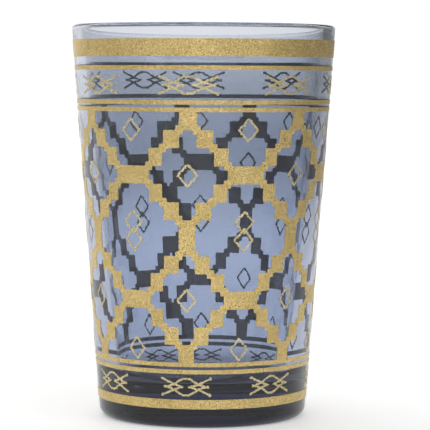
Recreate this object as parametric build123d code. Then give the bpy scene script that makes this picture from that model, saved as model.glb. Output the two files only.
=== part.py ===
# Moroccan tea glass: a pressed, tapered glass with gold bands, two friezes and a stepped lattice
# fired on its outside. Millimetres, +Z up, origin at the middle of the foot, front towards -Y.
import os
from math import asin, degrees, floor, hypot, radians, sin

from build123d import *

# Glass
height = 90.0
rim_diameter = 60.7
foot_diameter = 47.5
lip_wall = 2.1
lip_round = 0.95
floor_wall = 5.0
floor_thickness = 7.5
foot_round = 2.4
inside_round = 6.0
foot_ring_width = 4.0
foot_hollow_depth = 0.8

# Gold, heights along Z
gold_thickness = 0.12
print_clearance = 0.005
rim_band_drop = 3.5
rim_band_width = 3.9
rim_line_drop = 9.4
line_width = 0.95
line_gap = 0.65
upper_border_drop = 17.0
lower_border_rise = 12.4
base_band_rise = 4.5
base_band_width = 2.1

# Lattice, angles in degrees round the axis
column_angle = -7.5
column_pitch = 54.0
print_lean = 0.03
stem_half = 3.9
inner_step = (3.9, 11.1)
outer_step = (11.8, 18.2)
bar_start = 18.3
joint_half_angle = 1.7
joint_half_height = 0.95

# Hollow diamonds inside the cells
diamond_half_angle = 5.1
diamond_half_height = 2.8
diamond_stroke = 0.5
diamond_clearance = 0.1
pair_spacing = 3.9
pair_rise = 1.5

# Frieze motif: two facing stars joined by an open lozenge
motif_count = 8
motif_stroke = 0.42
star_angle = 6.4
arm_angle = 12.6
arm_rise = 1.85
eye_half_angle = 4.0
eye_half_height = 0.6
spike_end = 11.3
crown_half_angle = 1.8

rim_radius = rim_diameter / 2
foot_radius = foot_diameter / 2

# Heights of the gold lines, from the rim down and from the foot up
rim_band_low = height - rim_band_drop - rim_band_width
rim_line_low = height - rim_line_drop - line_width
upper_border_low = height - upper_border_drop - line_width
lattice_top = upper_border_low - line_gap - line_width
lattice_bottom = lower_border_rise + 2 * line_width + line_gap
print_middle = (lattice_top + lattice_bottom) / 2

# The lattice is 14 equal rows; each small cell is closed by a stem above and below
row_kinds = ("stem", "inner", "outer", "bar", "outer", "inner", "stem") * 2
row_height = (lattice_top - lattice_bottom) / len(row_kinds)

# The printed strip is longer than the way round, so its two ends overlap at the back
whole_columns = floor(360 / column_pitch)
columns_before = whole_columns // 2 - 1
first_column = column_angle - columns_before * column_pitch
half_pitch = column_pitch / 2
seam_start = first_column + (whole_columns - 0.5) * column_pitch
seam_half = (360 - whole_columns * column_pitch) / 2
column_reach = half_pitch + joint_half_angle
motif_pitch = (whole_columns + 1) * column_pitch / motif_count


def wall_radius(z):
    return foot_radius + (rim_radius - foot_radius) * z / height


def row_top(row):
    return lattice_top - row * row_height


def turned(shape, angle):
    return Rot(0, 0, angle) * shape


# A gold ring, or a piece of one, on the tapered wall; angle 0 is the front, and a whole ring
# starts at the side as the glass does
def gold_ring(low, high, start=90.0, sweep=360.0):
    low_radius = wall_radius(low) + print_clearance
    high_radius = wall_radius(high) + print_clearance
    section = Polygon(
        (low_radius, low),
        (low_radius + gold_thickness, low),
        (high_radius + gold_thickness, high),
        (high_radius, high),
        align=None,
    )
    ring = revolve(Plane.XZ * section, axis=Axis.Z, revolution_arc=sweep)
    return turned(ring, start - 90)


# A point on the front of the wall as seen square on; the print leans a little with height
def wall_point(angle, z):
    leaning = radians(angle + print_lean * (z - print_middle))
    return (wall_radius(z) * sin(leaning), z)


def patch_outline(angle_1, angle_2, low, high):
    return [
        wall_point(angle_1, low),
        wall_point(angle_2, low),
        wall_point(angle_2, high),
        wall_point(angle_1, high),
    ]


# A straight stroke of the print between two points, given as angle and height
def stroke_outline(start, end, width):
    first = Vector(*wall_point(*start))
    last = Vector(*wall_point(*end))
    along = (last - first).normalized() * (width / 2)
    across = along.rotate(Axis.Z, 90)
    corners = [first - along - across, last + along - across, last + along + across, first - along + across]
    return [(corner.X, corner.Y) for corner in corners]


def flat_artwork(outlines):
    return Sketch() + [Polygon(*outline, align=None) for outline in outlines]


# Lays flat artwork on the front of the wall as gold, out to an angle on each side
def print_on_wall(artwork, half_angle):
    stamp = extrude(Plane.XZ * artwork, amount=rim_radius + lip_wall)
    return stamp & gold_ring(0, height, -half_angle, 2 * half_angle)


def make_glass():
    floor_corner = (wall_radius(floor_thickness) - floor_wall, floor_thickness)
    foot_corner = (foot_radius, 0)
    ring_inside = foot_radius - foot_round - foot_ring_width
    outline = Polyline(
        (0, floor_thickness),
        floor_corner,
        (rim_radius - lip_wall, height),
        (rim_radius, height),
        foot_corner,
        (ring_inside, 0),
    )
    dish_radius = (ring_inside**2 + foot_hollow_depth**2) / (2 * foot_hollow_depth)
    dish_angle = degrees(asin(ring_inside / dish_radius))
    dish = CenterArc((0, foot_hollow_depth - dish_radius), dish_radius, 90 - dish_angle, dish_angle)
    middle = Line((0, foot_hollow_depth), (0, floor_thickness))
    section = make_face(outline + dish + middle)
    section = fillet(section.vertices().group_by(Axis.Y)[-1], lip_round)
    section = fillet(section.vertices().sort_by_distance(foot_corner)[0], foot_round)
    section = fillet(section.vertices().sort_by_distance(floor_corner)[0], inside_round)
    return revolve(Plane.XZ * section, axis=Axis.Z)


# Outlines of the patches of one lattice column that lie between two angles from its middle
def column_outlines(middle, a_min, a_max):
    spans = {
        "stem": [(-stem_half, stem_half)],
        "inner": [inner_step, (-inner_step[1], -inner_step[0])],
        "outer": [outer_step, (-outer_step[1], -outer_step[0])],
        "bar": [(bar_start, column_reach), (-column_reach, -bar_start)],
    }
    joint_angles = {
        frozenset(("stem", "inner")): stem_half,
        frozenset(("inner", "outer")): (inner_step[1] + outer_step[0]) / 2,
        frozenset(("outer", "bar")): (outer_step[1] + bar_start) / 2,
    }
    patches = []
    for row, kind in enumerate(row_kinds):
        patches += [(a, b, row_top(row + 1), row_top(row)) for a, b in spans[kind]]
    for row, kinds in enumerate(zip(row_kinds, row_kinds[1:]), start=1):
        if kinds[0] != kinds[1]:
            corner = joint_angles[frozenset(kinds)]
            low = row_top(row) - joint_half_height
            high = row_top(row) + joint_half_height
            for side in (-corner, corner):
                patches.append((side - joint_half_angle, side + joint_half_angle, low, high))
    outlines = []
    for a, b, low, high in patches:
        if a >= a_min and b <= a_max:
            outlines.append(patch_outline(middle + a, middle + b, low, high))
    return outlines


def make_column():
    artwork = flat_artwork(column_outlines(0, -column_reach, column_reach))
    return print_on_wall(artwork, half_pitch)


# The overlap at the back holds the end of the strip and its beginning, out of step with each other
def make_seam():
    strip_end = half_pitch - seam_half
    outlines = column_outlines(strip_end, -column_reach, -stem_half)
    outlines += column_outlines(-strip_end, -stem_half, column_reach)
    return print_on_wall(flat_artwork(outlines), seam_half)


def make_lattice():
    column = make_column()
    columns = [turned(column, first_column + step * column_pitch) for step in range(whole_columns)]
    seam = turned(make_seam(), seam_start + seam_half)
    return Compound(children=columns + [seam])


# A hollow diamond standing at a height
def diamond_artwork(middle_z):
    half_width = wall_radius(middle_z) * sin(radians(diamond_half_angle))
    side = hypot(half_width, diamond_half_height)
    inside_share = 1 - diamond_stroke * side / (half_width * diamond_half_height)
    frames = []
    for share in (1, inside_share):
        angle = diamond_half_angle * share
        rise = diamond_half_height * share
        tips = [(0, middle_z + rise), (-angle, middle_z), (0, middle_z - rise), (angle, middle_z)]
        frames.append(Polygon(*[wall_point(*tip) for tip in tips], align=None))
    return frames[0] - frames[1]


def print_diamonds(artwork):
    return print_on_wall(artwork, half_pitch)


def make_small_cell_diamonds():
    bar_rows = [row for row, kind in enumerate(row_kinds) if kind == "bar"]
    diamonds = [print_diamonds(diamond_artwork(row_top(row + 0.5))) for row in bar_rows]
    angles = [first_column + step * column_pitch for step in range(whole_columns)]
    return Compound(children=[turned(diamond, angle) for angle in angles for diamond in diamonds])


# One diamond stands in each half cell at the top and bottom, and a linked pair in each tall cell;
# at the back the beginning of the strip is printed over the last of them
def make_large_cell_diamonds():
    pair_middle = print_middle + pair_rise
    artworks = [
        diamond_artwork(row_top(1)),
        diamond_artwork(pair_middle + pair_spacing / 2) + diamond_artwork(pair_middle - pair_spacing / 2),
        diamond_artwork(lattice_bottom + diamond_half_height + diamond_clearance),
    ]
    first_cell = first_column - half_pitch
    diamonds = []
    for artwork in artworks:
        diamond = print_diamonds(artwork)
        diamonds += [turned(diamond, first_cell + step * column_pitch) for step in range(whole_columns)]
    overprint = flat_artwork(column_outlines(2 * seam_half - half_pitch, -stem_half, column_reach))
    for artwork in artworks:
        diamonds.append(turned(print_diamonds(artwork - overprint), seam_start))
    return Compound(children=diamonds)


# Strokes of one frieze motif, as pairs of points given as angle and height from its middle
def motif_strokes():
    crown = arm_rise
    eye_inside = star_angle - eye_half_angle
    eye_outside = star_angle + eye_half_angle
    strokes = [((-crown_half_angle, crown), (crown_half_angle, crown))]
    for side in (-1, 1):
        strokes += [
            ((side * crown_half_angle, crown), (side * star_angle, eye_half_height)),
            ((side * star_angle, eye_half_height), (side * arm_angle, arm_rise)),
            ((side * star_angle, eye_half_height), (side * eye_inside, 0)),
            ((side * star_angle, eye_half_height), (side * eye_outside, 0)),
            ((side * eye_inside, 0), (side * crown_half_angle, 0)),
            ((side * eye_outside, 0), (side * spike_end, 0)),
        ]
    mirrored = [((a, -z_a), (b, -z_b)) for (a, z_a), (b, z_b) in strokes if z_a or z_b]
    return strokes + mirrored


def make_frieze(low, high):
    middle = (low + high) / 2
    outlines = []
    for (angle_a, z_a), (angle_b, z_b) in motif_strokes():
        outlines.append(stroke_outline((angle_a, middle + z_a), (angle_b, middle + z_b), motif_stroke))
    motif = print_on_wall(flat_artwork(outlines), motif_pitch / 2)
    angles = [column_angle + (step - columns_before - 1) * motif_pitch for step in range(motif_count)]
    return Compound(children=[turned(motif, angle) for angle in angles])


pieces = {
    "glass_body": make_glass(),
    "rim_band": gold_ring(rim_band_low, rim_band_low + rim_band_width),
    "rim_line": gold_ring(rim_line_low, rim_line_low + line_width),
    "upper_frieze": make_frieze(upper_border_low + line_width, rim_line_low),
    "upper_border": gold_ring(upper_border_low, upper_border_low + line_width),
    "lattice_top_line": gold_ring(lattice_top, lattice_top + line_width),
    "lattice": make_lattice(),
    "lattice_bottom_line": gold_ring(lattice_bottom - line_width, lattice_bottom),
    "small_cell_diamonds": make_small_cell_diamonds(),
    "large_cell_diamonds": make_large_cell_diamonds(),
    "lower_border": gold_ring(lower_border_rise, lower_border_rise + line_width),
    "lower_frieze": make_frieze(base_band_rise + base_band_width, lower_border_rise),
    "base_band": gold_ring(base_band_rise, base_band_rise + base_band_width),
}

os.makedirs("parts", exist_ok=True)
for name, piece in pieces.items():
    export_step(piece, f"parts/{name}.step")
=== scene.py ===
# Moroccan tea glass, dressed over its CAD frame
import math
import bmesh
import bpy
from mathutils import Matrix, Vector


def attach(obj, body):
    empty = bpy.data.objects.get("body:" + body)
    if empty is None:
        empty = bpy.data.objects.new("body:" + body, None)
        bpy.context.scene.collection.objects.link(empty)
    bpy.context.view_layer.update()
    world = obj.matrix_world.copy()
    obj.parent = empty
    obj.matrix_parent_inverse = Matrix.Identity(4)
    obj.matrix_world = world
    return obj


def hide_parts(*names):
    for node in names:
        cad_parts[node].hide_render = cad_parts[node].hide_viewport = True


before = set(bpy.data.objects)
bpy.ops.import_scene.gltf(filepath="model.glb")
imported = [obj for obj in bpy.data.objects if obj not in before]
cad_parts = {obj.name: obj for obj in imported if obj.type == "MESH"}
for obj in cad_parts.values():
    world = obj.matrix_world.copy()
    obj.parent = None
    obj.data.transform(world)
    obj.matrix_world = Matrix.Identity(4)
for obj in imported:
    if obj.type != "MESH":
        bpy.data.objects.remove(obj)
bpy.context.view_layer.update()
mm = 0.001
print("frame loaded:", len(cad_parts), "nodes")


# object and material helpers

def linkObject(name, data):
    item = bpy.data.objects.new(name, data)
    bpy.context.scene.collection.objects.link(item)
    return item


# turns a bmesh into an object and frees it
def meshObject(name, bm):
    mesh = bpy.data.meshes.new(name)
    bm.to_mesh(mesh)
    bm.free()
    return linkObject(name, mesh)


# a material with an empty tree
def emptyMaterial(name):
    mat = bpy.data.materials.new(name)
    mat.use_nodes = True
    mat.node_tree.nodes.clear()
    return mat, mat.node_tree


# node helpers

# a socket given as a value is linked, anything else is set on the input
def addNode(tree, kind, values=None, **settings):
    item = tree.nodes.new(kind)
    for key, value in settings.items():
        setattr(item, key, value)
    for key, value in (values or {}).items():
        if isinstance(value, bpy.types.NodeSocket):
            tree.links.new(value, item.inputs[key])
        else:
            item.inputs[key].default_value = value
    return item


def mathNode(tree, operation, first, second=0.0):
    return addNode(tree, "ShaderNodeMath", {0: first, 1: second}, operation=operation).outputs[0]


def mapNode(tree, value, source=(0.0, 1.0), target=(0.0, 1.0), blend="LINEAR"):
    return addNode(tree, "ShaderNodeMapRange", {
        "Value": value, "From Min": source[0], "From Max": source[1], "To Min": target[0], "To Max": target[1]},
        interpolation_type=blend).outputs[0]


def mixNode(tree, factor, first, second, blend="MIX"):
    return addNode(tree, "ShaderNodeMix", {"Factor": factor, 6: first, 7: second},
                   data_type="RGBA", blend_type=blend).outputs[2]


def noiseNode(tree, place, scale, detail):
    return addNode(tree, "ShaderNodeTexNoise", {"Vector": place, "Scale": scale, "Detail": detail}).outputs["Fac"]


def vectorNode(tree, operation, values):
    return addNode(tree, "ShaderNodeVectorMath", values, operation=operation).outputs


# joins meshes in the order given
def joinNode(tree, meshes):
    joined = addNode(tree, "GeometryNodeJoinGeometry")
    for mesh in meshes:
        tree.links.new(mesh, joined.inputs[0])
    return joined.outputs[0]


# new geometry tree with named inputs; gives the tree, the input sockets and their identifiers
def geometryTree(name, inputs):
    tree = bpy.data.node_groups.new(name, "GeometryNodeTree")
    tree.interface.new_socket("Geometry", in_out="INPUT", socket_type="NodeSocketGeometry")
    tree.interface.new_socket("Geometry", in_out="OUTPUT", socket_type="NodeSocketGeometry")
    idents = {}
    for label, kind in inputs:
        socket = tree.interface.new_socket(label, in_out="INPUT", socket_type="NodeSocket" + kind)
        idents[label] = socket.identifier
    start = tree.nodes.new("NodeGroupInput")
    return tree, start.outputs, idents


# every tree ends with Realize Instances and Set Material; a print sets a second material on its hidden faces
def endTree(tree, geometry, material, hidden=None, underside=None):
    real = addNode(tree, "GeometryNodeRealizeInstances", {"Geometry": geometry})
    done = addNode(tree, "GeometryNodeSetMaterial", {"Geometry": real.outputs[0], "Material": material})
    if underside is not None:
        done = addNode(tree, "GeometryNodeSetMaterial", {
            "Geometry": done.outputs[0], "Selection": hidden, "Material": underside})
    addNode(tree, "NodeGroupOutput", {0: done.outputs[0]})


sharpAngle = 45


# runs a tree once and keeps the plain mesh as a piece of the object
def bakeTree(name, tree, idents, values):
    seed = linkObject(name + ".seed", bpy.data.meshes.new(name + ".seed"))
    mod = seed.modifiers.new("tree", "NODES")
    mod.node_group = tree
    for label, value in values.items():
        mod[idents[label]] = value
    seed.data.update()
    ready = seed.evaluated_get(bpy.context.evaluated_depsgraph_get())
    mesh = bpy.data.meshes.new_from_object(ready)
    seed.modifiers.remove(mod)
    bpy.data.objects.remove(seed)
    mesh.name = name
    bm = bmesh.new()
    bm.from_mesh(mesh)
    bmesh.ops.recalc_face_normals(bm, faces=bm.faces)
    bm.to_mesh(mesh)
    bm.free()
    for face in mesh.polygons:
        face.use_smooth = True
    mesh.set_sharp_from_angle(angle=math.radians(sharpAngle))
    print(name, "faces:", len(mesh.polygons))
    return linkObject(name, mesh)


def dress(piece, node):
    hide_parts(node)
    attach(piece, "root")


# the wall that everything is printed on; all sizes of shapes are in mm
wall = {"footRadius": 23.75, "rimRadius": 30.35, "height": 90.0, "flatRadius": 26.9}
wallTaper = (wall["rimRadius"] - wall["footRadius"]) / wall["height"]


def wallRadius(z):
    return wall["footRadius"] + wallTaper * z


# length along the flat artwork of an angle around the wall
def arc(angle):
    return math.radians(angle) * wall["flatRadius"]


# glass finish: smoke-blue fired tint below the gold rim, clear lip above it, painted shade towards the foot
glassLook = {
    "tint": (0.605, 0.668, 0.775, 1), "upperTint": (0.59, 0.636, 0.70, 1), "footPaintedShade": (0.04, 0.046, 0.095, 1),
    "clear": (0.79, 0.815, 0.855, 1),
    "footPaintedShadeRise": (4.0 * mm, 13.0 * mm), "upperRise": (66.0 * mm, 75.0 * mm), "clearRise": (83.9 * mm, 85.1 * mm),
    "smokiest": 61.0 * mm, "smokeReach": 25.0 * mm, "smokeDepth": 0.74,
    "cloudScale": 55.0, "cloudDetail": 3.0, "cloudShade": (0.94, 1.06),
    "rippleScale": 90.0, "rippleDetail": 1.0, "rippleStrength": 0.06, "rippleDepth": 0.6 * mm,
    "ior": 1.5, "roughness": 0.012, "absorb": (0.58, 0.60, 0.71, 1), "density": 100.0,
}


def makeGlassMaterial():
    look = glassLook
    mat, tree = emptyMaterial("smokeGlass")
    place = addNode(tree, "ShaderNodeTexCoord").outputs["Object"]
    height = addNode(tree, "ShaderNodeSeparateXYZ", {0: place}).outputs["Z"]
    # the tint was sprayed on, so it is a little uneven; it is also darkest in a belt above the middle
    cloud = noiseNode(tree, place, look["cloudScale"], look["cloudDetail"])
    offset = mathNode(tree, "ABSOLUTE", mathNode(tree, "SUBTRACT", height, look["smokiest"]))
    belt = mapNode(tree, offset, (0.0, look["smokeReach"]), (look["smokeDepth"], 1.0), "SMOOTHSTEP")
    shade = mathNode(tree, "MULTIPLY", mapNode(tree, cloud, target=look["cloudShade"]), belt)
    # it is greyer near the top, and painted shade darkens it to near black towards the foot
    coat = mixNode(tree, mapNode(tree, height, look["upperRise"]), look["tint"], look["upperTint"])
    smokeAndPaintedShade = mixNode(tree, mapNode(tree, height, look["footPaintedShadeRise"]), look["footPaintedShade"], coat)
    tint = mixNode(tree, 1.0, smokeAndPaintedShade, shade, "MULTIPLY")
    colour = mixNode(tree, mapNode(tree, height, look["clearRise"]), tint, look["clear"])
    # pressed glass is never quite flat
    ripple = noiseNode(tree, place, look["rippleScale"], look["rippleDetail"])
    bump = addNode(tree, "ShaderNodeBump", {
        "Height": ripple, "Strength": look["rippleStrength"], "Distance": look["rippleDepth"]}).outputs[0]
    body = addNode(tree, "ShaderNodeBsdfPrincipled", {
        "Base Color": colour, "Roughness": look["roughness"], "IOR": look["ior"],
        "Transmission Weight": 1.0, "Normal": bump})
    inside = addNode(tree, "ShaderNodeVolumeAbsorption", {"Color": look["absorb"], "Density": look["density"]})
    addNode(tree, "ShaderNodeOutputMaterial", {"Surface": body.outputs[0], "Volume": inside.outputs[0]})
    return mat


# gold finish: satin fired lustre with a fine sparkle and uneven patches, worn to pinholes on the right
goldLook = {
    "bright": (0.90, 0.70, 0.33, 1), "deep": (0.36, 0.26, 0.08, 1), "worn": (0.10, 0.08, 0.05, 1),
    "strokeBright": (0.87, 0.76, 0.48, 1), "strokeDeep": (0.36, 0.29, 0.13, 1),
    "grainScale": 4600.0, "grainDetail": 2.0, "grainShare": 0.85,
    "patchScale": 160.0, "patchDetail": 4.0, "patchShare": 0.15, "fleck": (0.38, 0.62),
    "holeScale": 1500.0, "holeEdge": (0.12, 0.27), "holeLevel": 0.6,
    "rubbedSide": (4.0 * mm, 24.0 * mm), "rubbed": (0.0, 0.14),
    "roughGrain": (0.3, 0.7), "roughness": (0.34, 0.50), "bumpStrength": 0.35, "bumpDepth": 0.06 * mm,
}


def makeGoldMaterial(name, bright, deep):
    look = goldLook
    mat, tree = emptyMaterial(name)
    place = addNode(tree, "ShaderNodeTexCoord").outputs["Object"]
    patch = noiseNode(tree, place, look["patchScale"], look["patchDetail"])
    grain = noiseNode(tree, place, look["grainScale"], look["grainDetail"])
    fleck = mathNode(tree, "ADD", mathNode(tree, "MULTIPLY", grain, look["grainShare"]),
                     mathNode(tree, "MULTIPLY", patch, look["patchShare"]))
    base = mixNode(tree, mapNode(tree, fleck, look["fleck"]), deep, bright)
    cells = addNode(tree, "ShaderNodeTexVoronoi", {"Vector": place, "Scale": look["holeScale"]}).outputs["Distance"]
    hole = mapNode(tree, cells, look["holeEdge"], (1.0, 0.0))
    right = addNode(tree, "ShaderNodeSeparateXYZ", {0: place}).outputs["X"]
    rubbed = mapNode(tree, right, look["rubbedSide"], look["rubbed"])
    few = mathNode(tree, "GREATER_THAN", mathNode(tree, "ADD", patch, rubbed), look["holeLevel"])
    colour = mixNode(tree, mathNode(tree, "MULTIPLY", hole, few), base, look["worn"])
    rough = mapNode(tree, grain, look["roughGrain"], look["roughness"])
    bump = addNode(tree, "ShaderNodeBump", {
        "Height": grain, "Strength": look["bumpStrength"], "Distance": look["bumpDepth"]}).outputs[0]
    body = addNode(tree, "ShaderNodeBsdfPrincipled", {
        "Base Color": colour, "Metallic": 1.0, "Roughness": rough, "Normal": bump})
    addNode(tree, "ShaderNodeOutputMaterial", {"Surface": body.outputs[0]})
    return mat


# underside of the print, seen through the glass: a grey, half-mirrored lustre
backLook = {
    "light": (0.24, 0.245, 0.27, 1), "dark": (0.13, 0.13, 0.145, 1), "roughness": 0.24, "scale": 300.0, "detail": 3.0,
}


def makeGoldBackMaterial():
    mat, tree = emptyMaterial("goldUnderside")
    place = addNode(tree, "ShaderNodeTexCoord").outputs["Object"]
    cloud = noiseNode(tree, place, backLook["scale"], backLook["detail"])
    body = addNode(tree, "ShaderNodeBsdfPrincipled", {
        "Base Color": mixNode(tree, cloud, backLook["light"], backLook["dark"]), "Metallic": 1.0,
        "Roughness": backLook["roughness"]})
    addNode(tree, "ShaderNodeOutputMaterial", {"Surface": body.outputs[0]})
    return mat


smokeGlass = makeGlassMaterial()
satinGold = makeGoldMaterial("satinGold", goldLook["bright"], goldLook["deep"])
# thin strokes carry less gold and look paler
strokeGold = makeGoldMaterial("strokeGold", goldLook["strokeBright"], goldLook["strokeDeep"])
goldUnderside = makeGoldBackMaterial()
print("finishes made")


# glass body: a profile with a radius at each corner, turned about Z
glassSizes = {
    "lipWall": 2.1, "lipRound": 0.95, "beadLow": 84.0, "beadSwell": 0.56, "beadRound": 3.0,
    "floorWall": 5.0, "floorThick": 7.5, "insideRound": 6.0,
    "footRound": 2.4, "ringWidth": 4.0, "ringRound": 0.6,
    "hollowDepth": 0.8, "hollowShares": (0.9, 0.75, 0.6, 0.45, 0.3, 0.15, 0.0),
    "holdReach": 1.03, "holdGap": 0.12, "holdLimit": 0.45,
    "segments": 256, "cornerPoints": 14, "weld": 0.001,
}


# a point close to each rounding keeps the long straight walls straight in the light
def holdStraight(corners):
    reach, gap, limit = (glassSizes[key] for key in ("holdReach", "holdGap", "holdLimit"))
    held = [corners[0]]
    for (x1, z1, r1), (x2, z2, r2) in zip(corners, corners[1:]):
        length = math.hypot(x2 - x1, z2 - z1)
        near, far = (reach * r1 + gap) / length, 1 - (reach * r2 + gap) / length
        for share, wanted in ((near, r1 > 0 and near < limit), (far, r2 > 0 and far > 1 - limit)):
            if wanted:
                held.append((x1 + (x2 - x1) * share, z1 + (z2 - z1) * share, 0))
        held.append((x2, z2, r2))
    return held


# corners as radius, height and rounding, from the middle of the inside floor round to the middle of the underside
def makeProfile():
    sizes = glassSizes
    floorHeight, lipHeight = sizes["floorThick"], wall["height"]
    floorRadius, lipRadius = wallRadius(floorHeight) - sizes["floorWall"], wall["rimRadius"] - sizes["lipWall"]
    beadShare = (sizes["beadLow"] - floorHeight) / (lipHeight - floorHeight)
    ring = wall["footRadius"] - sizes["footRound"] - sizes["ringWidth"]
    corners = [
        (0, floorHeight, 0),
        (floorRadius, floorHeight, sizes["insideRound"]),
        (floorRadius + (lipRadius - floorRadius) * beadShare, sizes["beadLow"], sizes["beadRound"]),
        (lipRadius - sizes["beadSwell"], lipHeight, sizes["lipRound"]),
        (wall["rimRadius"], lipHeight, sizes["lipRound"]),
        (wall["footRadius"], 0, sizes["footRound"]),
        (ring, 0, sizes["ringRound"]),
    ]
    # shallow dish under the foot
    for share in sizes["hollowShares"]:
        corners.append((ring * share, sizes["hollowDepth"] * (1 - share * share), 0))
    corners = holdStraight(corners)
    curve = bpy.data.curves.new("glassProfile", "CURVE")
    curve.dimensions = "3D"
    line = curve.splines.new("POLY")
    line.points.add(len(corners) - 1)
    for point, (x, z, radius) in zip(line.points, corners):
        point.co = (x * mm, 0, z * mm, 1)
        point.radius = radius * mm
    return linkObject("glassProfile", curve)


# a grid with a row for each point of the rounded profile, rolled up about Z and closed
def latheTree():
    tree, given, idents = geometryTree("latheProfile", [
        ("Profile", "Object"), ("Segments", "Int"), ("Corner Points", "Int"), ("Weld", "Float"),
        ("Material", "Material")])
    info = addNode(tree, "GeometryNodeObjectInfo", {"Object": given["Profile"]})
    radius = addNode(tree, "GeometryNodeInputRadius").outputs[0]
    rounded = addNode(tree, "GeometryNodeFilletCurve", {
        "Curve": info.outputs["Geometry"], "Count": given["Corner Points"], "Radius": radius}, mode="POLY").outputs[0]
    count = addNode(tree, "GeometryNodeAttributeDomainSize", {0: rounded}, component="CURVE").outputs["Point Count"]
    around = mathNode(tree, "ADD", given["Segments"], 1.0)
    sheet = addNode(tree, "GeometryNodeMeshGrid", {"Vertices X": count, "Vertices Y": around}).outputs["Mesh"]
    index = addNode(tree, "GeometryNodeInputIndex").outputs[0]
    row = mathNode(tree, "FLOOR", mathNode(tree, "DIVIDE", index, around))
    column = mathNode(tree, "SUBTRACT", index, mathNode(tree, "MULTIPLY", row, around))
    place = addNode(tree, "GeometryNodeInputPosition").outputs[0]
    sample = addNode(tree, "GeometryNodeSampleIndex", {"Geometry": rounded, "Value": place, "Index": row},
                     data_type="FLOAT_VECTOR", domain="POINT").outputs[0]
    point = addNode(tree, "ShaderNodeSeparateXYZ", {0: sample}).outputs
    angle = mathNode(tree, "DIVIDE", mathNode(tree, "MULTIPLY", column, math.tau), given["Segments"])
    spot = addNode(tree, "ShaderNodeCombineXYZ", {
        0: mathNode(tree, "MULTIPLY", point["X"], mathNode(tree, "COSINE", angle)),
        1: mathNode(tree, "MULTIPLY", point["X"], mathNode(tree, "SINE", angle)),
        2: point["Z"]}).outputs[0]
    turned = addNode(tree, "GeometryNodeSetPosition", {"Geometry": sheet, "Position": spot}).outputs[0]
    closed = addNode(tree, "GeometryNodeMergeByDistance", {"Geometry": turned, "Distance": given["Weld"]}).outputs[0]
    smooth = addNode(tree, "GeometryNodeSetShadeSmooth", {"Geometry": closed}).outputs[0]
    endTree(tree, smooth, given["Material"])
    return tree, idents


profile = makeProfile()
latheProfile, latheIdents = latheTree()
glass = bakeTree("glass", latheProfile, latheIdents, {
    "Profile": profile, "Segments": glassSizes["segments"], "Corner Points": glassSizes["cornerPoints"],
    "Weld": glassSizes["weld"] * mm, "Material": smokeGlass})
bpy.data.objects.remove(profile)
dress(glass, "glass_body")


# gold print: flat artwork (arc along X, height along Y) is repeated, its outline rounded and made ragged,
# filled, given its thickness and wrapped on the tapered wall
printSizes = {
    "embed": 0.035, "proud": 0.07, "lean": 0.03, "leanMiddle": 42.7, "cornerSteps": 2, "gritDetail": 2.0,
    "weld": 0.002, "seal": 0.0001, "layers": 7, "layerStep": 0.0025,
}
# how each kind of artwork is traced: spacing of outline points, raggedness along and up, its scale, cuts of the fill
bandTrace = {"spacing": 0.25, "ragged": (0.0, 0.2), "grit": 1500.0, "cuts": 1}
latticeTrace = {"spacing": 0.25, "ragged": (0.4, 0.4), "grit": 1500.0, "cuts": 1}
diamondTrace = {"spacing": 0.16, "ragged": (1.1, 1.1), "grit": 2600.0, "cuts": 0}
motifTrace = {"spacing": 0.16, "ragged": (0.8, 0.8), "grit": 2600.0, "cuts": 0}


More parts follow.
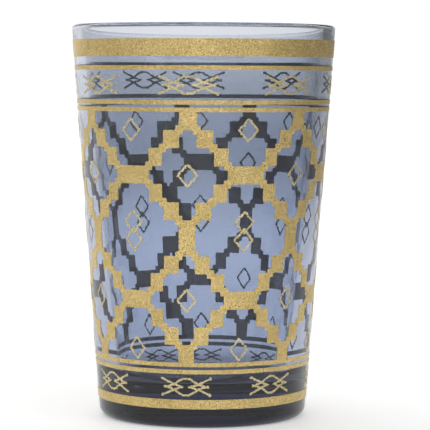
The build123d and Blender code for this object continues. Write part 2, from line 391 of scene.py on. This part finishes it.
def printTree():
    sizes = printSizes
    tree, given, idents = geometryTree("wrapPrint", [
        ("Artwork", "Object"), ("Extra", "Object"), ("Count", "Int"), ("Start", "Float"), ("Pitch", "Float"),
        ("Weld", "Bool"), ("Corner", "Float"), ("Spacing", "Float"), ("Ragged", "Vector"), ("Grit", "Float"),
        ("Cuts", "Int"), ("Embed", "Float"), ("Proud", "Float"), ("Lean", "Float"),
        ("Gold", "Material"), ("Underside", "Material")])
    art = addNode(tree, "GeometryNodeObjectInfo", {"Object": given["Artwork"]}).outputs["Geometry"]
    extra = addNode(tree, "GeometryNodeObjectInfo", {"Object": given["Extra"]}).outputs["Geometry"]
    start = addNode(tree, "ShaderNodeCombineXYZ", {0: given["Start"]}).outputs[0]
    step = addNode(tree, "ShaderNodeCombineXYZ", {0: given["Pitch"]}).outputs[0]
    places = addNode(tree, "GeometryNodeMeshLine", {
        "Count": given["Count"], "Start Location": start, "Offset": step}, mode="OFFSET").outputs[0]
    copies = addNode(tree, "GeometryNodeInstanceOnPoints", {"Points": places, "Instance": art}).outputs[0]
    repeated = addNode(tree, "GeometryNodeRealizeInstances", {"Geometry": copies}).outputs[0]
    welded = addNode(tree, "GeometryNodeMergeByDistance", {
        "Geometry": joinNode(tree, (repeated, extra)), "Selection": given["Weld"],
        "Distance": sizes["weld"] * mm}).outputs[0]

    # each separate patch is filled by itself, so strokes may cross
    island = addNode(tree, "GeometryNodeInputMeshIsland").outputs["Island Index"]
    marked = addNode(tree, "GeometryNodeStoreNamedAttribute", {
        "Geometry": welded, "Name": "patch", "Value": island}, data_type="INT", domain="POINT").outputs[0]
    patch = addNode(tree, "GeometryNodeInputNamedAttribute", {"Name": "patch"}, data_type="INT").outputs[0]
    sides = addNode(tree, "GeometryNodeInputMeshEdgeNeighbors").outputs[0]
    border = addNode(tree, "FunctionNodeCompare", {2: sides, 3: 1}, data_type="INT", operation="EQUAL").outputs[0]
    outline = addNode(tree, "GeometryNodeMeshToCurve", {"Mesh": marked, "Selection": border}).outputs[0]
    rounded = addNode(tree, "GeometryNodeFilletCurve", {
        "Curve": outline, "Count": sizes["cornerSteps"], "Radius": given["Corner"], "Limit Radius": True},
        mode="POLY").outputs[0]
    even = addNode(tree, "GeometryNodeResampleCurve", {"Curve": rounded, "Length": given["Spacing"]},
                   mode="LENGTH").outputs[0]

    # the outline wavers across its own direction, so it can't cross itself
    noise = addNode(tree, "ShaderNodeTexNoise", {"Scale": given["Grit"], "Detail": sizes["gritDetail"]}).outputs["Fac"]
    along = addNode(tree, "GeometryNodeInputTangent").outputs[0]
    across = vectorNode(tree, "CROSS_PRODUCT", {0: along, 1: (0, 0, 1)})[0]
    spread = vectorNode(tree, "MULTIPLY", {0: across, 1: given["Ragged"]})[0]
    wobble = vectorNode(tree, "SCALE", {0: spread, "Scale": mathNode(tree, "SUBTRACT", noise, 0.5)})[0]
    ragged = addNode(tree, "GeometryNodeSetPosition", {"Geometry": even, "Offset": wobble}).outputs[0]
    filled = addNode(tree, "GeometryNodeFillCurve", {"Curve": ragged, "Group ID": patch}, mode="TRIANGLES").outputs[0]
    dense = addNode(tree, "GeometryNodeSubdivideMesh", {"Mesh": filled, "Level": given["Cuts"]}).outputs[0]

    # thickness: the underside sits just inside the glass and the face stands just proud of it, crossing strokes in
    # slightly different layers
    low = addNode(tree, "ShaderNodeCombineXYZ", {2: mathNode(tree, "MULTIPLY", given["Embed"], -1.0)}).outputs[0]
    under = addNode(tree, "GeometryNodeSetPosition", {"Geometry": dense, "Offset": low}).outputs[0]
    stroke = addNode(tree, "GeometryNodeInputMeshIsland").outputs["Island Index"]
    layer = mathNode(tree, "MULTIPLY", mathNode(tree, "MODULO", stroke, sizes["layers"]), sizes["layerStep"] * mm)
    thick = mathNode(tree, "ADD", mathNode(tree, "ADD", given["Embed"], given["Proud"]), layer)
    up = addNode(tree, "ShaderNodeCombineXYZ", {2: 1.0}).outputs[0]
    raised = addNode(tree, "GeometryNodeExtrudeMesh", {
        "Mesh": under, "Offset": up, "Offset Scale": thick, "Individual": False}, mode="FACES").outputs[0]
    backSide = addNode(tree, "GeometryNodeStoreNamedAttribute", {
        "Geometry": under, "Name": "underside", "Value": True}, data_type="BOOLEAN", domain="FACE").outputs[0]
    sealed = addNode(tree, "GeometryNodeMergeByDistance", {
        "Geometry": joinNode(tree, (raised, backSide)), "Distance": sizes["seal"] * mm}).outputs[0]

    # wrap
    place = addNode(tree, "GeometryNodeInputPosition").outputs[0]
    spot = addNode(tree, "ShaderNodeSeparateXYZ", {0: place}).outputs
    onCone = mathNode(tree, "ADD", mathNode(tree, "MULTIPLY", spot["Y"], wallTaper), wall["footRadius"] * mm)
    radius = mathNode(tree, "ADD", onCone, spot["Z"])
    rise = mathNode(tree, "SUBTRACT", spot["Y"], sizes["leanMiddle"] * mm)
    angle = mathNode(tree, "ADD", mathNode(tree, "DIVIDE", spot["X"], wall["flatRadius"] * mm),
                     mathNode(tree, "MULTIPLY", rise, given["Lean"]))
    sideways = mathNode(tree, "MULTIPLY", radius, mathNode(tree, "SINE", angle))
    depth = mathNode(tree, "MULTIPLY", mathNode(tree, "MULTIPLY", radius, mathNode(tree, "COSINE", angle)), -1.0)
    onWall = addNode(tree, "ShaderNodeCombineXYZ", {0: sideways, 1: depth, 2: spot["Y"]}).outputs[0]
    wrapped = addNode(tree, "GeometryNodeSetPosition", {"Geometry": sealed, "Position": onWall}).outputs[0]
    hidden = addNode(tree, "GeometryNodeInputNamedAttribute", {"Name": "underside"}, data_type="BOOLEAN").outputs[0]
    endTree(tree, wrapped, given["Gold"], hidden, given["Underside"])
    return tree, idents


wrapPrint, wrapIdents = printTree()


# flat mesh from a list of closed outlines
def flatObject(name, outlines):
    bm = bmesh.new()
    for outline in outlines:
        bm.faces.new([bm.verts.new((x * mm, y * mm, 0)) for x, y in outline])
    return meshObject(name, bm)


# rectangles (angle, angle, low, high) joined into one flat mesh, cut along all their edges
def joinedRectangles(name, rects):
    xs = sorted({round(arc(a), 5) for r in rects for a in r[:2]})
    ys = sorted({round(z, 5) for r in rects for z in r[2:]})
    bm = bmesh.new()
    corners = {}

    def corner(i, j):
        if (i, j) not in corners:
            corners[i, j] = bm.verts.new((xs[i] * mm, ys[j] * mm, 0))
        return corners[i, j]

    for i in range(len(xs) - 1):
        for j in range(len(ys) - 1):
            x, y = (xs[i] + xs[i + 1]) / 2, (ys[j] + ys[j + 1]) / 2
            if any(arc(a) < x < arc(b) and low < y < high for a, b, low, high in rects):
                bm.faces.new([corner(i, j), corner(i + 1, j), corner(i + 1, j + 1), corner(i, j + 1)])
    return meshObject(name, bm)


# prints artwork count times around the glass; start and pitch are angles
def printGold(name, node, art, trace, count=1, start=0.0, pitch=0.0, extra=None, weld=False, corner=0.0,
              lean=True, gold=satinGold):
    along, upward = trace["ragged"]
    piece = bakeTree(name, wrapPrint, wrapIdents, {
        "Artwork": art, "Extra": extra, "Count": count, "Start": arc(start) * mm, "Pitch": arc(pitch) * mm,
        "Weld": weld, "Corner": corner * mm, "Spacing": trace["spacing"] * mm,
        "Ragged": (along * mm, upward * mm, 0.0), "Grit": trace["grit"], "Cuts": trace["cuts"],
        "Embed": printSizes["embed"] * mm, "Proud": printSizes["proud"] * mm,
        "Lean": math.radians(printSizes["lean"]) / mm if lean else 0.0, "Gold": gold, "Underside": goldUnderside})
    for flat in (art, extra):
        if flat:
            bpy.data.objects.remove(flat)
    dress(piece, node)


# bands and lines: bottom and top heights
bands = {
    "rimBand": ("rim_band", 82.6, 86.5), "rimLine": ("rim_line", 79.65, 80.6),
    "upperBorder": ("upper_border", 72.05, 73.0), "latticeTopLine": ("lattice_top_line", 70.45, 71.4),
    "latticeBottomLine": ("lattice_bottom_line", 14.0, 14.95), "lowerBorder": ("lower_border", 12.4, 13.35),
    "baseBand": ("base_band", 4.5, 6.6),
}
bandEnds = arc(-180), arc(180)
for name, (node, low, high) in bands.items():
    left, right = bandEnds
    strip = flatObject(name + ".flat", [[(left, low), (right, low), (right, high), (left, high)]])
    printGold(name, node, strip, bandTrace, lean=False)
print("bands printed")


# stepped lattice: half of each row from the middle of a column outwards, in degrees
lattice = {
    "top": 70.45, "bottom": 14.95, "column": -7.5, "pitch": 54.0, "wholeColumns": 6, "stem": 3.9,
    "inner": (3.9, 11.1), "outer": (11.8, 18.2), "bar": 18.3, "jointAngle": 1.7, "jointHeight": 0.95, "corner": 0.22,
    "rows": ("stem", "inner", "outer", "bar", "outer", "inner", "stem") * 2, "leastWidth": 0.01,
}
wholeColumns, latticePitch = lattice["wholeColumns"], lattice["pitch"]
halfPitch = latticePitch / 2
rowHeight = (lattice["top"] - lattice["bottom"]) / len(lattice["rows"])
firstColumn = lattice["column"] - 2 * latticePitch
seamStart = firstColumn + (wholeColumns - 0.5) * latticePitch
seamHalf = (360 - wholeColumns * latticePitch) / 2


# a column's rows and the small joints between them, as far as they lie between two angles from its middle
def columnRectangles(middle, angleMin, angleMax):
    stem, inner, outer, bar, rows = (lattice[key] for key in ("stem", "inner", "outer", "bar", "rows"))
    reach = {"stem": (-stem, stem), "inner": inner, "outer": outer, "bar": (bar, halfPitch)}
    joints = {frozenset(("stem", "inner")): stem, frozenset(("inner", "outer")): (inner[1] + outer[0]) / 2,
              frozenset(("outer", "bar")): (outer[1] + bar) / 2}
    spans = []
    for row, kind in enumerate(rows):
        top = lattice["top"] - row * rowHeight
        a, b = reach[kind]
        spans.append((a, b, top - rowHeight, top))
        if kind != "stem":
            spans.append((-b, -a, top - rowHeight, top))
    wide, tall = lattice["jointAngle"], lattice["jointHeight"]
    for row in range(1, len(rows)):
        at = joints.get(frozenset(rows[row - 1:row + 1]))
        if at:
            z = lattice["top"] - row * rowHeight
            for side in (-at, at):
                spans.append((side - wide, side + wide, z - tall, z + tall))
    return [(middle + a, middle + b, low, high) for a, b, low, high in spans if a >= angleMin and b <= angleMax]


# the strip's end and its beginning, out of step where they overlap at the back, trimmed to the gap
def seamRectangles():
    stripEnd = halfPitch - seamHalf
    seamMiddle, seamEnd = seamStart + seamHalf, seamStart + 2 * seamHalf
    rects = columnRectangles(seamMiddle + stripEnd, -halfPitch, -lattice["stem"])
    rects += columnRectangles(seamMiddle - stripEnd, -lattice["stem"], halfPitch)
    trimmed = [(max(a, seamStart), min(b, seamEnd), low, high) for a, b, low, high in rects]
    return [rect for rect in trimmed if rect[1] - rect[0] > lattice["leastWidth"]]


columnArt = joinedRectangles("column.flat", columnRectangles(0, -halfPitch, halfPitch))
seamArt = joinedRectangles("seam.flat", seamRectangles())
printGold("steppedLattice", "lattice", columnArt, latticeTrace, wholeColumns, firstColumn, latticePitch, seamArt,
          weld=True, corner=lattice["corner"])
print("lattice printed")


# hollow diamonds
diamonds = {"halfAngle": 5.1, "halfHeight": 2.8, "stroke": 0.44, "pairSpacing": 3.9, "pairMiddle": 44.2,
            "topHalf": 66.49, "bottomHalf": 17.85, "small": (56.57, 28.82), "corner": 0.25}


# four quads around a diamond at height z
def diamondRing(z):
    halfWidth = math.sin(math.radians(diamonds["halfAngle"])) * wall["flatRadius"]
    halfHeight = diamonds["halfHeight"]
    inside = 1 - diamonds["stroke"] * math.hypot(halfWidth, halfHeight) / (halfWidth * halfHeight)
    tips = [(halfWidth, 0), (0, halfHeight), (-halfWidth, 0), (0, -halfHeight)]
    quads = []
    for (ax, ay), (bx, by) in zip(tips, tips[1:] + tips[:1]):
        quads.append([(ax, z + ay), (bx, z + by), (bx * inside, z + by * inside), (ax * inside, z + ay * inside)])
    return quads


# one mesh from rings of quads, each ring joined by itself
def ringObject(name, rings):
    bm = bmesh.new()
    for ring in rings:
        made = {}
        for quad in ring:
            verts = []
            for x, y in quad:
                key = (round(x, 6), round(y, 6))
                if key not in made:
                    made[key] = bm.verts.new((x * mm, y * mm, 0))
                verts.append(made[key])
            bm.faces.new(verts)
    return meshObject(name, bm)


smallArt = ringObject("small.flat", [diamondRing(z) for z in diamonds["small"]])
printGold("smallCellDiamonds", "small_cell_diamonds", smallArt, diamondTrace, wholeColumns, firstColumn,
          latticePitch, corner=diamonds["corner"], gold=strokeGold)
pairMiddle, pairHalf = diamonds["pairMiddle"], diamonds["pairSpacing"] / 2
largeHeights = [diamonds["topHalf"], pairMiddle + pairHalf, pairMiddle - pairHalf, diamonds["bottomHalf"]]
largeArt = ringObject("large.flat", [diamondRing(z) for z in largeHeights])
printGold("largeCellDiamonds", "large_cell_diamonds", largeArt, diamondTrace, wholeColumns + 1,
          firstColumn - halfPitch, latticePitch, corner=diamonds["corner"], gold=strokeGold)
print("diamonds printed")


# frieze motif: two facing stars with hollow eyes, joined by an open lozenge; angles along, heights in mm
motif = {"count": 8, "stroke": 0.46, "star": 6.4, "arm": 12.6, "rise": 1.85, "eye": 4.0, "eyeHeight": 0.6,
         "spike": 11.3, "crown": 1.8, "dot": 0.34, "dotSides": 10, "endSteps": 4}
# each frieze lies between two bands
friezes = {
    "upperFrieze": ("upper_frieze", bands["upperBorder"][2], bands["rimLine"][1]),
    "lowerFrieze": ("lower_frieze", bands["baseBand"][2], bands["lowerBorder"][1]),
}


# the upper half and the middle line, then the upper half mirrored
def motifStrokes():
    star, eye, arm, spike, crown = (motif[key] for key in ("star", "eye", "arm", "spike", "crown"))
    rise, eyeHeight = motif["rise"], motif["eyeHeight"]
    lines = [((-crown, rise), (crown, rise))]
    for side in (-1, 1):
        top, eyeIn, eyeOut = (side * star, eyeHeight), (side * (star - eye), 0), (side * (star + eye), 0)
        lines += [((side * crown, rise), top), (top, (side * arm, rise)), (top, eyeIn), (top, eyeOut),
                  (eyeIn, (side * crown, 0)), (eyeOut, (side * spike, 0))]
    return lines + [((a, -za), (b, -zb)) for (a, za), (b, zb) in lines if za or zb]


# a stroke with round ends
def strokeOutline(start, end):
    (x1, y1), (x2, y2) = start, end
    along, half, steps = math.atan2(y2 - y1, x2 - x1), motif["stroke"] / 2, motif["endSteps"]
    outline = []
    for (x, y), turn in ((end, -90), (start, 90)):
        for k in range(steps + 1):
            angle = along + math.radians(turn + 180 / steps * k)
            outline.append((x + math.cos(angle) * half, y + math.sin(angle) * half))
    return outline


def dotOutline(x, y):
    turns = [k * math.tau / motif["dotSides"] for k in range(motif["dotSides"])]
    return [(x + math.cos(turn) * motif["dot"], y + math.sin(turn) * motif["dot"]) for turn in turns]


def motifOutlines(middle):
    outlines = [strokeOutline((arc(a), middle + za), (arc(b), middle + zb)) for (a, za), (b, zb) in motifStrokes()]
    for side in (-1, 1):
        for a, z in ((motif["arm"], motif["rise"]), (motif["arm"], -motif["rise"]), (motif["spike"], 0)):
            outlines.append(dotOutline(arc(side * a), middle + z))
    return outlines


motifPitch = (wholeColumns + 1) * latticePitch / motif["count"]
for name, (node, low, high) in friezes.items():
    motifArt = flatObject(name + ".flat", motifOutlines((low + high) / 2))
    printGold(name, node, motifArt, motifTrace, motif["count"], lattice["column"] - 3 * motifPitch, motifPitch,
              gold=strokeGold)
print("friezes printed")


# white ground with painted light: it glows, more towards the back, so that it runs into the backdrop; places in m
groundLook = {
    "colour": (0.93, 0.93, 0.93, 1), "roughness": 0.6, "glow": (1, 1, 1, 1), "half": 3.0, "parts": 2,
    "near": (-0.02, 0.5), "nearGlow": (0.38, 0.66), "far": (1.2, 3.0), "farGlow": (0.0, 0.22),
    "slant": 0.11, "right": (0.1, 0.28), "foot": (0.020, 0.0225),
}


def makeStage():
    look = groundLook
    mat, tree = emptyMaterial("paleGroundPaintedLight")
    place = addNode(tree, "ShaderNodeTexCoord").outputs["Object"]
    spot = addNode(tree, "ShaderNodeSeparateXYZ", {0: place}).outputs
    back = mathNode(tree, "ADD", mapNode(tree, spot["Y"], look["near"], look["nearGlow"]),
                    mapNode(tree, spot["Y"], look["far"], look["farGlow"]))
    # painted shade: its glow fades towards the right
    aside = mathNode(tree, "SUBTRACT", spot["X"], mathNode(tree, "MULTIPLY", spot["Y"], look["slant"]))
    glow = mathNode(tree, "MULTIPLY", back, mapNode(tree, aside, look["right"], (1.0, 0.0)))
    # painted contact shadow: no glow comes from the ground under the glass foot
    reach = vectorNode(tree, "LENGTH", {0: place})["Value"]
    glow = mathNode(tree, "MULTIPLY", glow, mapNode(tree, reach, look["foot"]))
    body = addNode(tree, "ShaderNodeBsdfPrincipled", {
        "Base Color": look["colour"], "Roughness": look["roughness"], "Emission Color": look["glow"],
        "Emission Strength": glow})
    addNode(tree, "ShaderNodeOutputMaterial", {"Surface": body.outputs[0]})
    bm = bmesh.new()
    bmesh.ops.create_grid(bm, x_segments=look["parts"], y_segments=look["parts"], size=look["half"])
    ground = meshObject("ground", bm)
    ground.data.materials.append(mat)


makeStage()

# white sweep behind the glass, dimmer room on the camera's side, dark card on the right
studio = {"back": 1.03, "front": 0.32, "backTurn": (-0.2, 0.98, 0.0), "backEdge": (0.78, 0.965),
          "card": (0.12, 0.5), "cardShade": 0.55}
lights = {
    "keyLight": {"place": (0.0, -0.75, 0.42), "target": (0, 0, 0.045), "size": (1.1, 0.5), "power": 1.75},
    "fillLight": {"place": (0.55, -0.45, 0.4), "target": (0, 0, 0.045), "size": (0.3, 0.5), "power": 0.9},
    "topLight": {"place": (-0.35, 0.5, 1.3), "target": (-0.1, 0.4, 0), "size": (1.4, 1.8), "power": 8.0},
}


def areaLight(name, place, target, size, power):
    data = bpy.data.lights.new(name, "AREA")
    data.shape = "RECTANGLE"
    data.size, data.size_y = size
    data.energy = power
    lamp = linkObject(name, data)
    lamp.location = place
    lamp.rotation_euler = (Vector(target) - Vector(place)).to_track_quat("-Z", "Y").to_euler()


def makeStudio():
    world = bpy.data.worlds.new("studio")
    bpy.context.scene.world = world
    world.use_nodes = True
    tree = world.node_tree
    tree.nodes.clear()
    facing = addNode(tree, "ShaderNodeTexCoord").outputs["Generated"]
    depth = vectorNode(tree, "DOT_PRODUCT", {0: facing, 1: studio["backTurn"]})["Value"]
    sweep = mapNode(tree, depth, studio["backEdge"], (studio["front"], studio["back"]), "SMOOTHSTEP")
    right = addNode(tree, "ShaderNodeSeparateXYZ", {0: facing}).outputs["X"]
    card = mapNode(tree, right, studio["card"], (1.0, studio["cardShade"]))
    level = mathNode(tree, "MULTIPLY", sweep, card)
    glow = addNode(tree, "ShaderNodeBackground", {"Color": (1, 1, 1, 1), "Strength": level})
    addNode(tree, "ShaderNodeOutputWorld", {"Surface": glow.outputs[0]})
    for name, light in lights.items():
        areaLight(name, **light)
    bpy.context.scene.view_settings.view_transform = "Standard"


makeStudio()

# camera fitted to the photograph's outline and gold rings; focal length and frame in pixels
view = {"place": (0, -0.5115, 0.0778), "yaw": 0.311, "pitch": 3.532, "roll": 0.264, "focal": 2214.0, "frame": 430.0,
        "sensor": 36}


def makeCamera():
    yaw, pitch, roll = (math.radians(view[key]) for key in ("yaw", "pitch", "roll"))
    forward = Vector((math.sin(yaw) * math.cos(pitch), math.cos(yaw) * math.cos(pitch), -math.sin(pitch)))
    right = Vector((math.cos(yaw), -math.sin(yaw), 0))
    up = right.cross(forward)
    side = math.cos(roll) * right + math.sin(roll) * up
    top = -math.sin(roll) * right + math.cos(roll) * up
    data = bpy.data.cameras.new("camera")
    data.sensor_width = view["sensor"]
    data.lens = view["sensor"] * view["focal"] / view["frame"]
    camera = linkObject("camera", data)
    turn = Matrix((side, top, -forward)).transposed().to_4x4()
    camera.matrix_world = Matrix.Translation(view["place"]) @ turn
    bpy.context.scene.camera = camera


makeCamera()
print("stage, light and camera set")
